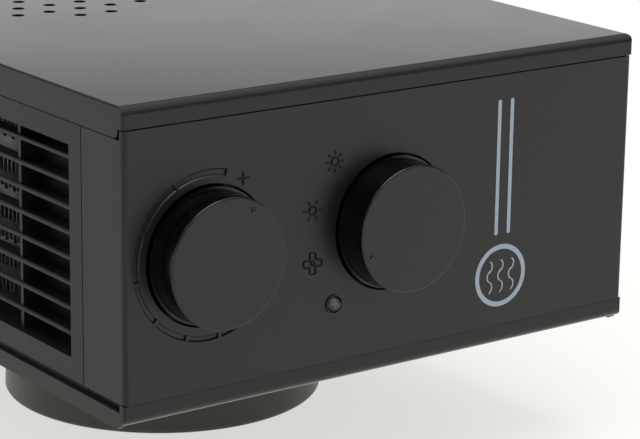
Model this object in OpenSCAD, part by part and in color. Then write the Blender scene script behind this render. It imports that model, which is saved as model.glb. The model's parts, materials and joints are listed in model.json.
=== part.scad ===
// Tabletop fan heater: a flat body with its controls on one end, on a round swivel foot.
// Millimetres. The origin is the centre of the foot on the table, +Z up.
// The air outlet faces -Y and the control panel faces +X.

/* [Body] */
// Width of the body, end panel to end panel
body_w = 250; // [244:1:280]
// Depth of the body, front to back
body_d = 184.5; // [180:0.5:206]
// Height of the body without its foot
body_h = 91; // [90:1:105]
// Height of the tray's underside above the table
lift = 40; // [36:1:60]
// Wall of the top cover and the bottom tray
sheet_t = 1.6; // [1.2:0.1:2]
// Wall of the end panels and the grilles
wall_t = 2.2; // [1.8:0.1:2.6]
// Height of the cover's and the tray's side skirts
skirt_h = 6.2; // [5.5:0.1:8]
// Bend radius of the cover and the tray along their sides
bend_r = 3; // [2.4:0.1:4]
// Radius on the cover's and the tray's other edges
edge_r = 0.8; // [0.5:0.1:1.2]
// Radius of the end panels' upright corners
corner_r = 1.5; // [1:0.1:3]
// How far the end panels return round the corners
flange_w = 22; // [18:1:26]
// Height of the cover's brow above the front and the back
brow_h = 9; // [8.5:0.1:11]
// How far brow and chin stay in from the corners
brow_in = 2.5; // [1.5:0.1:4]
// Height of the tray's wall at the front and the back
lip_h = 3.9; // [3.2:0.1:4.6]
// How far the tray's chin hangs below its underside
chin_h = 1.2; // [0.5:0.1:4]
// Set-back of the panels behind the cover's faces
set_back = 0.3; // [0.1:0.1:0.8]
// Seam between neighbouring shells
seam = 0.4; // [0.2:0.1:0.7]
// Tighter seam between the end panels and the tray
low_seam = 0.1; // [0.05:0.05:0.4]
// Clearance of parts that slip together
fit = 0.3; // [0.2:0.05:0.5]

/* [Cover holes] */
// Diameter of the air holes in the cover
hole_d = 4; // [3:0.1:5]
// Distance between neighbouring air holes
hole_pitch = 11.3; // [9:0.1:13]
// Rows of air holes
hole_rows = 10; // [5:1:10]
// Half the width of the hole field
field_half = 33.5; // [20:0.5:36]
// Place of the first row, from the middle of the body
field_x = 7.6; // [0:0.1:20]
// Place of the field's centre line in front of the body's middle, as a share of its depth
field_place = 0.1591; // [0.142:0.0001:0.174]

/* [Controls] */
// Diameter of a knob's face
knob_d = 38; // [34:0.5:40]
// How far a knob's face stands out of the panel
knob_out = 10.5; // [8:0.5:14]
// Taper of a knob's side, on the radius, from its face to the panel
knob_taper = 0.9; // [0.3:0.1:1.2]
// Edge radius of a knob's face
knob_edge = 0.6; // [0.2:0.1:1]
// Width of the flange at a knob's foot
flange_step = 0.55; // [0.2:0.05:0.8]
// How far that flange stands out of the panel
flange_out = 0.8; // [0.4:0.1:1.5]
// Wall of a knob
knob_wall = 2.2; // [1.6:0.1:2.6]
// Gap between a knob and its well
well_gap = 0.8; // [0.5:0.1:1.2]
// Depth of a knob well below the panel's face
well_depth = 6; // [5:0.1:8]
// Distance between the two knobs, as a share of the body's depth
knob_place = 0.3485; // [0.336:0.0005:0.352]
// Place of the pointer dimple on a knob, from its centre
dimple_at = 16.3; // [14:0.1:16.4]
// Diameter of the pointer dimple
dimple_d = 1.7; // [1:0.1:2.4]
// Pointer of the thermostat knob, clockwise from the top
thermostat_angle = 28; // [0:1:60]
// Pointer of the mode knob, clockwise from the top
mode_angle = 250; // [225:0.5:315]
// Inner radius of the thermostat's sunk scale bars
scale_r = 22.7; // [22.4:0.1:23.4]
// Radial width of the longest scale bar
scale_w = 2.2; // [1.2:0.1:2.6]
// How deep the scale bars are sunk in the panel
scale_in = 0.6; // [0.4:0.05:1]
// Where the scale begins, clockwise from the top
scale_start = 15.3; // [10:0.1:20]
// Angle of the longest scale bar
scale_first = 42; // [38:0.5:44]
// How much shorter each following bar is
scale_step = 3.2; // [2.5:0.1:3.8]
// Diameter of the indicator lamp
lamp_d = 4.8; // [4:0.1:5]
// Distance of the lamp from the mode knob's centre
lamp_at = 30.1; // [29:0.1:32]
// Place of the lamp, clockwise from the top
lamp_angle = 224; // [220:1:230]
// Diameter of a control spindle
spindle_d = 6; // [5:0.1:6.4]
// Diameter of a control's threaded bush
bush_d = 9.5; // [9:0.1:10]
// Width of a control's nut across its flats
nut_af = 13; // [12.5:0.5:14]
// Depth of a control's body behind its well
control_depth = 17; // [14:1:20]

/* [Grilles] */
// Depth of the outlet grille
grille_depth = 11; // [9:0.5:13]
// Thickness of a slat
slat_t = 1.5; // [1.2:0.1:2]
// Distance between slats
slat_pitch = 7.4; // [6:0.1:9]
// Tilt of the slats, rising towards the front
slat_tilt = 14; // [0:1:25]
// Distance between the grille's upright ribs
rib_pitch = 32; // [24:1:40]
// Frame around the outlet's slats
frame_w = 6.5; // [5:0.5:9]
// Width of an intake slot
slot_w = 3.6; // [2.5:0.1:4.5]
// Length of an intake slot
slot_l = 26; // [18:1:28]
// Distance between intake slots
slot_pitch = 7; // [6:0.1:9]
// Bore of the cord grommet
grommet_d = 7.2; // [6:0.1:8]

/* [Fan and heating] */
// Outside radius of the cross-flow rotor
fan_r = 27; // [24:0.5:28]
// Blades on the rotor
fan_blades = 28; // [20:1:32]
// Depth of a blade ring
blade_depth = 6.5; // [5:0.1:8]
// Thickness of a blade
blade_t = 0.9; // [0.7:0.1:1.2]
// Thickness of the rotor's discs
disc_t = 1.4; // [1:0.1:2]
// Gap between the rotor and its scroll
scroll_gap = 4; // [3:0.1:4.4]
// Wall of scroll and tongue
scroll_t = 1.6; // [1.2:0.1:2]
// Thickness of the duct's side plates
plate_t = 2; // [1.6:0.1:2.4]
// Distance of the duct's left plate from the left end
duct_in = 21; // [20:0.5:30]
// Diameter of the motor's shaft and of the rotor's end pin
shaft_d = 5; // [4:0.1:6]
// Depth of the heating element along the air stream
element_d = 16; // [12:0.5:18]
// Height of a heating tube
tube_h = 5; // [4:0.1:6]
// Thickness of a fin's strip
fin_t = 0.4; // [0.3:0.05:0.5]
// Distance between neighbouring fins
fin_pitch = 2.5; // [2:0.1:4]

/* [Motor] */
// Length of the pillars between the duct and the motor
pillar_l = 5; // [4:0.5:8]
// Length of the motor's iron core
core_l = 14; // [10:0.5:16]
// Radius of the motor's rotor
rotor_r = 12.6; // [10:0.1:13.4]
// Thickness of the motor's end brackets
bracket_t = 1.6; // [1.2:0.1:2]
// Diameter of the motor's bolts
bolt_d = 3; // [2.5:0.1:3.5]
// Width of the terminal block's ways
way_w = 9; // [7:0.5:10]
// Depth of the terminal block
terminal_d = 18; // [16:0.5:22]
// Height of the terminal block
terminal_h = 13; // [12:0.5:15]

/* [Foot] */
// Radius of the foot
foot_r = 53; // [49:0.5:58]
// Wall of the foot
foot_wall = 2.6; // [2:0.1:3.4]
// Taper of the foot's side, on the radius
foot_taper = 1.6; // [0:0.1:4]
// Radius of the foot's lower edge
foot_edge = 1.5; // [1:0.1:3]
// Radius of the swivel spigot
spigot_r = 14; // [12:0.5:16]
// Thickness of the glide ring under the tray
glide_t = 1.4; // [1:0.1:2]
// Swivel to each side, in degrees
swivel_half = 45; // [20:1:60]
// Gap between the foot's rim and the table
foot_gap = 0.4; // [0.2:0.1:1]
// Thickness of the rubber pad
pad_t = 1.8; // [1.4:0.1:2.6]

/* [Hidden] */
$fn = 64;

// A shaft's running clearance on its radius, and the overlap that fuses shapes of one piece
running = 0.05;
fuse = 0.3;

// Faces of the body
half_w = body_w / 2;
half_d = body_d / 2;
z_bot = lift;
z_top = lift + body_h;
z_mid = lift + body_h / 2;
face_d = half_d - set_back;
floor_z = z_bot + sheet_t;
panel_z0 = z_bot + skirt_h + low_seam;
panel_z1 = z_top - skirt_h - seam;
brow_z = z_top - brow_h - seam;

// The tongues of panels and grilles, which slip inside the cover and the tray
tongue_t = 1.8;
tongue_w = half_w - sheet_t - fit;
tongue_d = half_d - sheet_t - fit;
tongue_z0 = z_bot + max(bend_r, sheet_t + fit);
tongue_z1 = z_top - max(bend_r, sheet_t + fit);
tongue_hold = 5;

// Posts and screws that pull the cover down on the tray
post_r = 4.5;
post_x = half_w - 13;
post_y = tongue_d - tongue_t - post_r - fit;
post_split = z_bot + 34;
screw_r = 1.4;
screw_head_r = 3;
screw_head_h = 2.4;
screw_grip = 6;
screw_bite = 14;
cross_l = 3.6;
cross_w = 0.8;
cross_d = 1;

// Controls
knob_r = knob_d / 2;
knob_base_r = knob_r + knob_taper;
well_r = knob_base_r + well_gap;
well_wall = 1.6;
well_floor = 2;
well_face_x = half_w - well_depth;
well_back_x = well_face_x - well_floor;
knob_rim_x = well_face_x + 1;
knob_face_x = half_w + knob_out;
knob_pitch = knob_place * body_d;
thermostat_y = -knob_pitch;
mode_y = 0;
spindle_r = spindle_d / 2;
bush_r = bush_d / 2;
nut_t = 2.5;
bush_end_x = well_face_x + nut_t + 0.9;
hub_r = spindle_r + 2.4;
hub_x = bush_end_x + 0.6;
spindle_end_x = knob_face_x - 4.5;
control_back_x = well_back_x - control_depth;
control_size = 0.15 * body_d;
blade_l = 7;
tab_w = 4.8;
tab_t = 0.8;
lamp_r = lamp_d / 2;
lamp_y = mode_y + lamp_at * sin(lamp_angle);
lamp_z = z_mid + lamp_at * cos(lamp_angle);
collar_r = lamp_r + 0.5;
scale_bars = 7;
scale_gap = 2.2;
scale_bevel = 0.3;

// Grilles
grille_w = 2 * (half_w - flange_w - seam);
outlet_z0 = panel_z0 + frame_w;
outlet_z1 = brow_z - frame_w;
outlet_w = grille_w - 2 * frame_w;
outlet_back_y = -face_d + grille_depth;
slat_count = floor((outlet_z1 - outlet_z0) / slat_pitch);
intake_w = grille_w - 40;
grommet_x = grille_w / 2 - 11;
grommet_z = z_bot + 20;
grommet_r = grommet_d / 2;
grommet_wall = 2.2;

// Fan and duct
field_y = -field_place * body_d;
fan_y = field_y + 5;
fan_z = z_mid - 2;
motor_clear = 1.8;
shaft_tail = 3;
end_space = 4;
motor_x1 = control_back_x - blade_l - motor_clear - shaft_tail;
core_x1 = motor_x1 - bracket_t - end_space;
core_x0 = core_x1 - core_l;
motor_x0 = core_x0 - end_space - bracket_t;
duct_right = motor_x0 - pillar_l - plate_t;
duct_left = duct_in - half_w;
duct_l = duct_right - duct_left;
duct_front_y = outlet_back_y + fit;
duct_rear_y = fan_y + fan_r + 24;
scroll_r = fan_r + scroll_gap;
duct_floor_z = fan_z - scroll_r;
duct_roof_z = fan_z + fan_r + 3;
rotor_gap = 3;
rotor_x0 = duct_left + rotor_gap;
rotor_x1 = duct_right - rotor_gap;
fan_hub_r = 7;
fan_hub_l = 10;
shaft_r = shaft_d / 2;
bearing_r = shaft_r + 4.5;
bearing_l = 7;
ring_r = bearing_r + 3.5;
bearing_x = duct_left - plate_t / 2;
duct_foot_w = 10;
duct_foot_y = [duct_front_y + 1.8 * duct_foot_w, duct_rear_y - 1.5 * duct_foot_w];
duct_foot_t = 2.4;
duct_foot_z = floor_z + 5;

// Heating element
element_y1 = duct_front_y + 5 + element_d;
cap_l = 6;
element_h = duct_roof_z - duct_floor_z - 2 * fit;
element_z0 = duct_floor_z + fit;
element_x0 = duct_left + fit + cap_l;
element_x1 = duct_right - fit - cap_l;
tubes = 3;
fin_h = (element_h - tubes * tube_h) / (tubes + 1);
layer = fin_h + tube_h;
fins = floor((element_x1 - element_x0) / fin_pitch / 2) * 2;

// Motor
rotor_gap_r = 0.4;
core_r = rotor_r + rotor_gap_r;
core_half = core_r + 12;
core_side = 6;
core_top = core_r + core_side;
core_leg = 7;
core_bottom = core_top + 14;
bolt_y = core_half - 4;
bolt_r = bolt_d / 2;

// Foot
foot_top_z = lift - glide_t;
foot_plate_t = 2;
foot_plate_z = pad_t + foot_plate_t;
foot_top_t = 3;
foot_plate_r = foot_r - foot_edge - 1.5;
foot_boss_r = 4;
foot_boss_at = foot_plate_r - foot_boss_r - 3;
spigot_wall = 3.5;
spigot_z = foot_top_z - foot_top_t - fit;
retainer_r = spigot_r + 5;
retainer_t = 2;
stop_r = 2.5;
stop_at = retainer_r + stop_r + 3;
glide_r0 = stop_at + stop_r + 2;
glide_r1 = min(glide_r0 + 10, foot_r - foot_taper - 4);
pad_r = foot_plate_r - 1;
foot_head_h = pad_t - 0.4;

// Colours of the bare model
shell_black = "#2b2b2c";
panel_black = "#3a3a39";
dark = "#1c1c1d";
metal = "#b9babb";
copper = "#a8652f";

// Shapes that several pieces share

// Flat shape in the YZ plane at a given X, extruded towards +X
module from_x(x, l) {
    translate([x, 0, 0]) rotate([90, 0, 90]) linear_extrude(l) children();
}

// Flat shape in the XZ plane whose extrusion ends at a given Y
module to_y(y, l) {
    translate([0, y, 0]) rotate([90, 0, 0]) linear_extrude(l) children();
}

// Round bar along X at a given Y and Z
module bar_x(r, x0, x1, y, z) {
    translate([x0, y, z]) rotate([0, 90, 0]) cylinder(r = r, h = x1 - x0);
}

// Upright round bar between two heights
module bar_z(r, z0, z1) {
    translate([0, 0, z0]) cylinder(r = r, h = z1 - z0);
}

module ring_z(r1, r0, z0, z1) {
    difference() {
        bar_z(r1, z0, z1);
        bar_z(r0, z0 - 1, z1 + 1);
    }
}

// Rectangle with four round corners, centred
module round_rect(w, h, r) {
    square([w - 2 * r, h], center = true);
    square([w, h - 2 * r], center = true);
    for (sx = [-1, 1], sy = [-1, 1])
        translate([sx * (w / 2 - r), sy * (h / 2 - r)]) circle(r);
}

// Rectangle that stands on the axis, its upper corners round
module arch(w, h, r) {
    translate([-w / 2, 0]) square([w, h - r]);
    translate([-w / 2 + r, 0]) square([w - 2 * r, h]);
    for (s = [-1, 1])
        translate([s * (w / 2 - r), h - r]) circle(r);
}

// Slot with round ends, upright, centred
module slot(w, l) {
    square([w, l - w], center = true);
    for (s = [-1, 1])
        translate([0, s * (l - w) / 2]) circle(w / 2);
}

// Wedge of a circle from one angle to another, clockwise angles negative
module wedge(r, a0, a1) {
    steps = 6;
    arc = [for (i = [0 : steps]) a0 + (a1 - a0) * i / steps];
    polygon(concat([[0, 0]], [for (a = arc) 2 * r * [cos(a), sin(a)]]));
}

// Cross that is sunk into a screw's head, at the origin
module drive() {
    for (a = [0, 90])
        rotate(a) translate([-cross_l / 2, -cross_w / 2, -1]) cube([cross_l, cross_w, cross_d + 1]);
}

// Screw that points up, its head's seat at the origin, with a cross in its head
module screw(l, r = screw_r) {
    difference() {
        union() {
            bar_z(screw_head_r, -screw_head_h, 0);
            bar_z(r, -fuse, l);
        }
        translate([0, 0, -screw_head_h]) drive();
    }
}

// Places of the four posts
module at_posts() {
    for (sx = [-1, 1], sy = [-1, 1])
        translate([sx * post_x, sy * post_y, 0]) children();
}

// Shells

// Block of the body's plan whose upper edges are rounded, standing on the origin
module soft_block(h) {
    intersection() {
        to_y(half_d, body_d) arch(body_w, h, bend_r);
        from_x(-half_w, body_w) arch(body_d, h, edge_r);
        linear_extrude(h) round_rect(body_w, body_d, edge_r);
    }
}

// Shallow shell, open below, with a folded skirt
module skirted_shell() {
    difference() {
        soft_block(skirt_h);
        translate([0, 0, -1])
            to_y(half_d - sheet_t, body_d - 2 * sheet_t)
                arch(body_w - 2 * sheet_t, skirt_h - sheet_t + 1, bend_r - sheet_t);
    }
}

// Hanging strip along the front or the back, its lower corners round
module strip(side, top_z, h) {
    to_y(side > 0 ? half_d : -half_d + sheet_t, sheet_t)
        translate([0, top_z]) mirror([0, 1]) arch(body_w - 2 * brow_in, h, 2);
}

function row_half(i) =
    let (d = field_half - i * hole_pitch * sqrt(3) / 2)
    field_half * sqrt(1 - pow(max(d, 0) / (field_half + hole_pitch / 3), 2));

// Air holes on a triangular grid, in a field with round ends
module air_holes() {
    row_step = hole_pitch * sqrt(3) / 2;
    for (i = [0 : hole_rows - 1]) {
        odd = i % 2;
        half = row_half(min(i, hole_rows - 1 - i));
        n = floor((half + hole_pitch / 2 * (1 - odd)) / hole_pitch);
        for (k = [-n : n - 1 + odd])
            translate([field_x - i * row_step, field_y + (k + (1 - odd) / 2) * hole_pitch, 0])
                bar_z(hole_d / 2, z_top - sheet_t - 1, z_top + 1);
    }
}

module top_cover() {
    color(shell_black) difference() {
        union() {
            translate([0, 0, z_top - skirt_h]) skirted_shell();
            for (side = [-1, 1])
                strip(side, z_top - skirt_h + 1, brow_h - skirt_h + 1);
            at_posts() bar_z(post_r, post_split, z_top - sheet_t + fuse);
        }
        air_holes();
        at_posts() bar_z(screw_r + running, post_split - 1, post_split + screw_bite + 1);
    }
}

module bottom_tray() {
    rim = half_w - brow_in;
    color(shell_black) difference() {
        union() {
            difference() {
                translate([0, 0, z_bot + skirt_h]) mirror([0, 0, 1]) skirted_shell();
                for (side = [-1, 1])
                    translate([-rim, side * half_d - 2 * sheet_t, z_bot + lip_h])
                        cube([2 * rim, 4 * sheet_t, skirt_h]);
            }
            for (side = [-1, 1])
                strip(side, z_bot + sheet_t, chin_h + sheet_t);
            at_posts() bar_z(post_r, floor_z - fuse, post_split);
            at_duct_feet() bar_z(duct_foot_w / 2 - 1, floor_z - fuse, duct_foot_z);
            bar_z(foot_r - foot_taper - 6, floor_z - fuse, floor_z + 2);
            bar_z(spigot_r, spigot_z, floor_z);
            rotate(90) translate([stop_at, 0, 0]) bar_z(stop_r, foot_top_z - foot_top_t + fit, floor_z);
        }
        bar_z(spigot_r - spigot_wall, spigot_z - 1, floor_z + 3);
        at_posts() {
            bar_z(screw_head_r + fit, z_bot - 1, post_split - screw_grip);
            bar_z(screw_r + fit, z_bot, post_split + 1);
        }
        at_duct_feet() bar_z(screw_r + running, floor_z + 0.4, duct_foot_z + 1);
        at_swivel_screws() bar_z(screw_r + running, spigot_z - 1, z_bot + 0.4);
    }
}

module housing_screws() {
    color(metal) at_posts()
        translate([0, 0, post_split - screw_grip]) screw(screw_grip + screw_bite - 1);
}

// End panels

// Section of an end panel in plan: a wall that returns round both corners
module panel_section() {
    x0 = half_w - flange_w;
    difference() {
        union() {
            translate([x0, -face_d]) square([flange_w - corner_r, 2 * face_d]);
            translate([x0, corner_r - face_d]) square([flange_w, 2 * (face_d - corner_r)]);
            for (s = [-1, 1])
                translate([half_w - corner_r, s * (face_d - corner_r)]) circle(corner_r);
        }
        translate([x0 - 1, wall_t - face_d]) square([flange_w + 1 - wall_t, 2 * (face_d - wall_t)]);
    }
}

// Section of the tongue inside it
module tongue_section() {
    x0 = half_w - flange_w;
    difference() {
        translate([x0, -tongue_d]) square([tongue_w - x0, 2 * tongue_d]);
        translate([x0 - 1, tongue_t - tongue_d])
            square([tongue_w - x0 + 1 - tongue_t, 2 * (tongue_d - tongue_t)]);
    }
}

module end_panel() {
    difference() {
        translate([0, 0, panel_z0]) linear_extrude(panel_z1 - panel_z0) panel_section();
        for (s = [-1, 1])
            translate([half_w - flange_w - 1, s * face_d - 2 * wall_t, brow_z])
                cube([flange_w + 1 - brow_in + seam, 4 * wall_t, brow_h]);
    }
    translate([0, 0, tongue_z0]) linear_extrude(panel_z0 + tongue_hold - tongue_z0) tongue_section();
    translate([0, 0, brow_z - tongue_hold]) linear_extrude(tongue_z1 - brow_z + tongue_hold) tongue_section();
}

module at_knobs() {
    for (y = [thermostat_y, mode_y])
        translate([0, y, z_mid]) children();
}

// Section of a scale bar's groove with bevelled shoulders, its outer side at the given radius
module bar_section(r, w) {
    r0 = r - w + scale_bevel;
    r1 = r - scale_bevel;
    polygon([
        [r - w, 1], [r - w, 0], [r0, -scale_bevel], [r0, -scale_in],
        [r1, -scale_in], [r1, -scale_bevel], [r, 0], [r, 1]
    ]);
}

// Grooves of the thermostat's scale, each shorter than the last
module scale_bars() {
    translate([half_w, thermostat_y, z_mid]) rotate([90, 0, 90])
        for (i = [0 : scale_bars - 1]) {
            start = scale_start - i * scale_first + scale_step * i * (i - 1) / 2;
            span = scale_first - i * scale_step - scale_gap;
            width = scale_w * (1 - i / scale_bars / 3);
            rotate(90 - start + scale_gap / 2) rotate_extrude(angle = span)
                bar_section(scale_r + scale_w, width);
        }
}

module control_panel() {
    color(panel_black) difference() {
        union() {
            end_panel();
            at_knobs() bar_x(well_r + well_wall, well_back_x, half_w - wall_t / 2, 0, 0);
            bar_x(collar_r, half_w - wall_t / 2, half_w + 0.5, lamp_y, lamp_z);
        }
        scale_bars();
        at_knobs() {
            bar_x(well_r, well_face_x, half_w + 1, 0, 0);
            bar_x(bush_r + fit / 2, well_back_x - 1, half_w, 0, 0);
        }
        bar_x(lamp_r + fit / 2, half_w - 2 * wall_t, half_w + 1, lamp_y, lamp_z);
    }
}

module side_panel() {
    color(panel_black) mirror([1, 0, 0]) end_panel();
}

// Grilles

// Plate between the end panels' returns, with tongues above and below, at the front
module face_plate() {
    translate([-grille_w / 2, -face_d, panel_z0]) cube([grille_w, wall_t, brow_z - panel_z0]);
    for (z = [[tongue_z0, panel_z0 + tongue_hold], [brow_z - tongue_hold, tongue_z1]])
        translate([-grille_w / 2, -tongue_d, z[0]]) cube([grille_w, tongue_t, z[1] - z[0]]);
}

module outlet_grille() {
    outlet_h = outlet_z1 - outlet_z0;
    slat_z0 = (outlet_z0 + outlet_z1 - (slat_count - 1) * slat_pitch) / 2;
    chord = (grille_depth - 1.5) / cos(slat_tilt) - slat_t;
    blind_x = duct_right + plate_t;
    collar = 2;
    color(dark) {
        difference() {
            union() {
                face_plate();
                translate([-outlet_w / 2 - collar, -face_d, outlet_z0 - collar])
                    cube([outlet_w + 2 * collar, grille_depth, outlet_h + 2 * collar]);
            }
            translate([-outlet_w / 2, -face_d - 1, outlet_z0])
                cube([outlet_w, grille_depth + 2, outlet_h]);
        }
        for (i = [0 : slat_count - 1])
            from_x(-outlet_w / 2 - fuse, outlet_w + 2 * fuse)
                translate([-face_d + grille_depth / 2, slat_z0 + i * slat_pitch])
                    rotate(90 - slat_tilt) slot(slat_t, chord);
        for (x = [0 : rib_pitch : outlet_w / 2 - rib_pitch / 4], s = [-1, 1])
            if (x > 0 || s > 0)
                translate([s * x - slat_t / 2, -face_d + 2.5, outlet_z0 - fuse])
                    cube([slat_t, grille_depth - 3.5, outlet_h + 2 * fuse]);
        translate([blind_x, outlet_back_y - slat_t, outlet_z0 - fuse])
            cube([outlet_w / 2 + fuse - blind_x, slat_t, outlet_h + 2 * fuse]);
    }
}

module intake_grille() {
    rows_z = [for (s = [-1, 1]) (panel_z0 + brow_z) / 2 + s * (slot_l / 2 + 2.5)];
    n = floor(intake_w / slot_pitch / 2);
    color(panel_black) difference() {
        rotate(180) face_plate();
        to_y(half_d + 1, wall_t + 6)
            for (k = [-n : n], z = rows_z)
                if (abs(k * slot_pitch) < intake_w / 2)
                    translate([k * slot_pitch, z]) slot(slot_w, slot_l);
        translate([grommet_x, half_d + 1, grommet_z]) rotate([90, 0, 0])
            cylinder(r = grommet_r + grommet_wall, h = wall_t + 8);
    }
}

// Rubber bush in the back, whose two lips hold the plate between them
module cord_grommet() {
    r = grommet_r + grommet_wall;
    color(dark) translate([grommet_x, face_d, grommet_z]) rotate([-90, 0, 0])
        rotate_extrude() difference() {
            union() {
                translate([grommet_r, -wall_t - 2]) square([grommet_wall - running, wall_t + 4]);
                translate([grommet_r, 0]) square([grommet_wall + 2, 2]);
                translate([grommet_r, -wall_t - 2]) square([grommet_wall + 1.4, 2]);
            }
            translate([r + 2, 2]) rotate(45) square(1.2, center = true);
        }
}

// Controls

// Knob, turned about its spindle, with its rim at the origin and its face along +Z
module knob(pointer) {
    h = knob_face_x - knob_rim_x;
    top_z = h - 2.5;
    rim_r = knob_r + knob_taper;
    flange_z = half_w + flange_out - knob_rim_x;
    hub_z = hub_x - knob_rim_x;
    bore_r = spindle_r + running;
    bore_z = spindle_end_x - knob_rim_x + fit;
    color(panel_black) difference() {
        rotate_extrude() {
            polygon([
                [0, bore_z], [bore_r, bore_z], [bore_r, hub_z], [hub_r, hub_z], [hub_r, top_z],
                [knob_r - knob_wall, top_z], [rim_r - knob_wall, 0], [rim_r, 0],
                [rim_r, flange_z], [rim_r - flange_step, flange_z],
                [knob_r, h - knob_edge], [knob_r - knob_edge, h], [0, h]
            ]);
            translate([knob_r - knob_edge, h - knob_edge]) circle(knob_edge);
        }
        rotate(pointer) translate([dimple_at, 0, h + dimple_d * 0.3]) sphere(d = dimple_d * 1.2);
    }
}

// Turns a piece made along +Z to stand out of the panel at a knob's place, its own +X to the back
module on_well(y, x) {
    translate([x, y, z_mid]) rotate([90, 0, 90]) children();
}

module thermostat_knob() {
    on_well(thermostat_y, knob_rim_x) knob(90 - thermostat_angle);
}

module mode_knob() {
    on_well(mode_y, knob_rim_x) knob(90 - mode_angle);
}

// Spindle with a flat, from inside its control to inside its knob
module spindle() {
    l = spindle_end_x - control_back_x - 5;
    color(metal) difference() {
        bar_z(spindle_r, 0, l);
        translate([spindle_r - 1.2, -spindle_r, l - 8]) cube([2, spindle_d, 9]);
    }
}

module thermostat_spindle() {
    on_well(thermostat_y, control_back_x + 5) rotate(90 - thermostat_angle) spindle();
}

module switch_spindle() {
    on_well(mode_y, control_back_x + 5) rotate(90 - mode_angle) spindle();
}

// Body of a control with its threaded bush and a bore for the spindle
module control_body(w, h, r) {
    difference() {
        union() {
            linear_extrude(control_depth) round_rect(w, h, r);
            bar_z(bush_r, control_depth - fuse, bush_end_x - control_back_x);
        }
        bar_z(spindle_r + running, 5 - running, control_depth + 20);
    }
}

// Flat connecting blade behind a control
module blade(u, v) {
    translate([u - tab_w / 2, v - tab_t / 2, -blade_l]) cube([tab_w, tab_t, blade_l + fuse]);
}

module thermostat_body() {
    color("#8d8f90") on_well(thermostat_y, control_back_x) {
        control_body(control_size - 2, control_size, 2);
        for (v = [-9, 9])
            blade(0, v);
    }
}

module rotary_switch() {
    color(dark) on_well(mode_y, control_back_x) {
        control_body(control_size, control_size, 4);
        for (u = [-7, 7], v = [-8, 8])
            blade(u, v);
    }
}

module control_nuts() {
    color(metal) for (y = [thermostat_y, mode_y])
        on_well(y, well_face_x) difference() {
            cylinder(d = nut_af / cos(30), h = nut_t, $fn = 6);
            bar_z(bush_r + running, -1, nut_t + 1);
        }
}

// Lamp with a domed front and a flange behind the panel
module indicator_lamp() {
    back = half_w - wall_t;
    color("#8e8a99") {
        bar_x(lamp_r, back - 0.1, half_w, lamp_y, lamp_z);
        intersection() {
            translate([half_w - 0.4, lamp_y, lamp_z]) sphere(r = lamp_r);
            bar_x(lamp_r + 1, half_w - 0.4, half_w + lamp_r, lamp_y, lamp_z);
        }
        bar_x(lamp_r + 0.4, back - 1, back, lamp_y, lamp_z);
    }
}

// Small board behind the lamp, on two pegs of its own
module lamp_board() {
    back = half_w - wall_t;
    w = 12;
    color("#2f5a3a") translate([back - 1, lamp_y, lamp_z]) rotate([90, 0, -90]) {
        linear_extrude(1.6) round_rect(w, w - 2, 1);
        for (s = [-1, 1])
            translate([s * (w / 2 - 1.6), 0, -1]) cylinder(r = 1.2, h = 1 + fuse);
    }
}

// Fan duct

module at_duct_feet() {
    for (x = [duct_left - plate_t - duct_foot_w / 2, duct_right + plate_t + duct_foot_w / 2], y = duct_foot_y)
        translate([x, y, 0]) children();
}

// Side plate's outline in the YZ plane
module plate_outline() {
    difference() {
        translate([duct_front_y, floor_z])
            square([duct_rear_y - duct_front_y, z_top - sheet_t - fit - floor_z]);
        translate([duct_rear_y, z_top]) rotate(45) square(48, center = true);
        translate([duct_rear_y, floor_z]) rotate(45) square(30, center = true);
    }
}

// Side plate with its two feet, at the left when side is -1
module duct_plate(side) {
    x_in = side < 0 ? duct_left : duct_right;
    foot_x = side < 0 ? x_in - plate_t - duct_foot_w : x_in + plate_t - fuse;
    from_x(side < 0 ? x_in - plate_t : x_in, plate_t) plate_outline();
    for (y = duct_foot_y)
        translate([foot_x, y - duct_foot_w / 2, duct_foot_z])
            cube([duct_foot_w + fuse, duct_foot_w, duct_foot_t]);
}

module duct_plate_left() {
    color(dark) difference() {
        union() {
            duct_plate(-1);
            bar_x(ring_r + 2, bearing_x - bearing_l / 2, duct_left, fan_y, fan_z);
        }
        bar_x(ring_r, bearing_x - bearing_l / 2 - 1, duct_left + 1, fan_y, fan_z);
        at_duct_feet() bar_z(screw_r + fit, duct_foot_z - 1, duct_foot_z + duct_foot_t + 1);
    }
}

module duct_plate_right() {
    color(dark) difference() {
        union() {
            duct_plate(1);
            for (s = [-1, 1])
                bar_x(bolt_r + 2, duct_right + plate_t - fuse, motor_x0, fan_y + s * bolt_y, fan_z);
        }
        bar_x(fan_hub_r + 2, duct_right - 1, duct_right + plate_t + 1, fan_y, fan_z);
        for (s = [-1, 1])
            bar_x(bolt_r + running, duct_right - 1, motor_x0 + 1, fan_y + s * bolt_y, fan_z);
        at_duct_feet() bar_z(screw_r + fit, duct_foot_z - 1, duct_foot_z + duct_foot_t + 1);
    }
}

module duct_screws() {
    color(metal) at_duct_feet()
        translate([0, 0, duct_foot_z + duct_foot_t]) rotate([180, 0, 0]) screw(duct_foot_t + 4);
}

// Curved wall behind and under the rotor, which runs on as the duct's floor
module fan_scroll() {
    color(dark) from_x(duct_left, duct_l) translate([fan_y, fan_z]) {
        intersection() {
            difference() {
                circle(scroll_r + scroll_t);
                circle(scroll_r);
            }
            wedge(scroll_r + scroll_t, -90, 5);
        }
        translate([duct_front_y - fan_y, -scroll_r - scroll_t])
            square([fan_y - duct_front_y + fuse, scroll_t]);
    }
}

// Duct's roof with a round nose close to the rotor
module air_tongue() {
    nose = 2.2;
    color(dark) from_x(duct_left, duct_l) {
        translate([duct_front_y, duct_roof_z]) square([fan_y - 4 - duct_front_y, scroll_t]);
        translate([fan_y - 4, duct_roof_z + nose / 2]) circle(nose);
    }
}

// Rotor: rings of curved blades between discs

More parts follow.
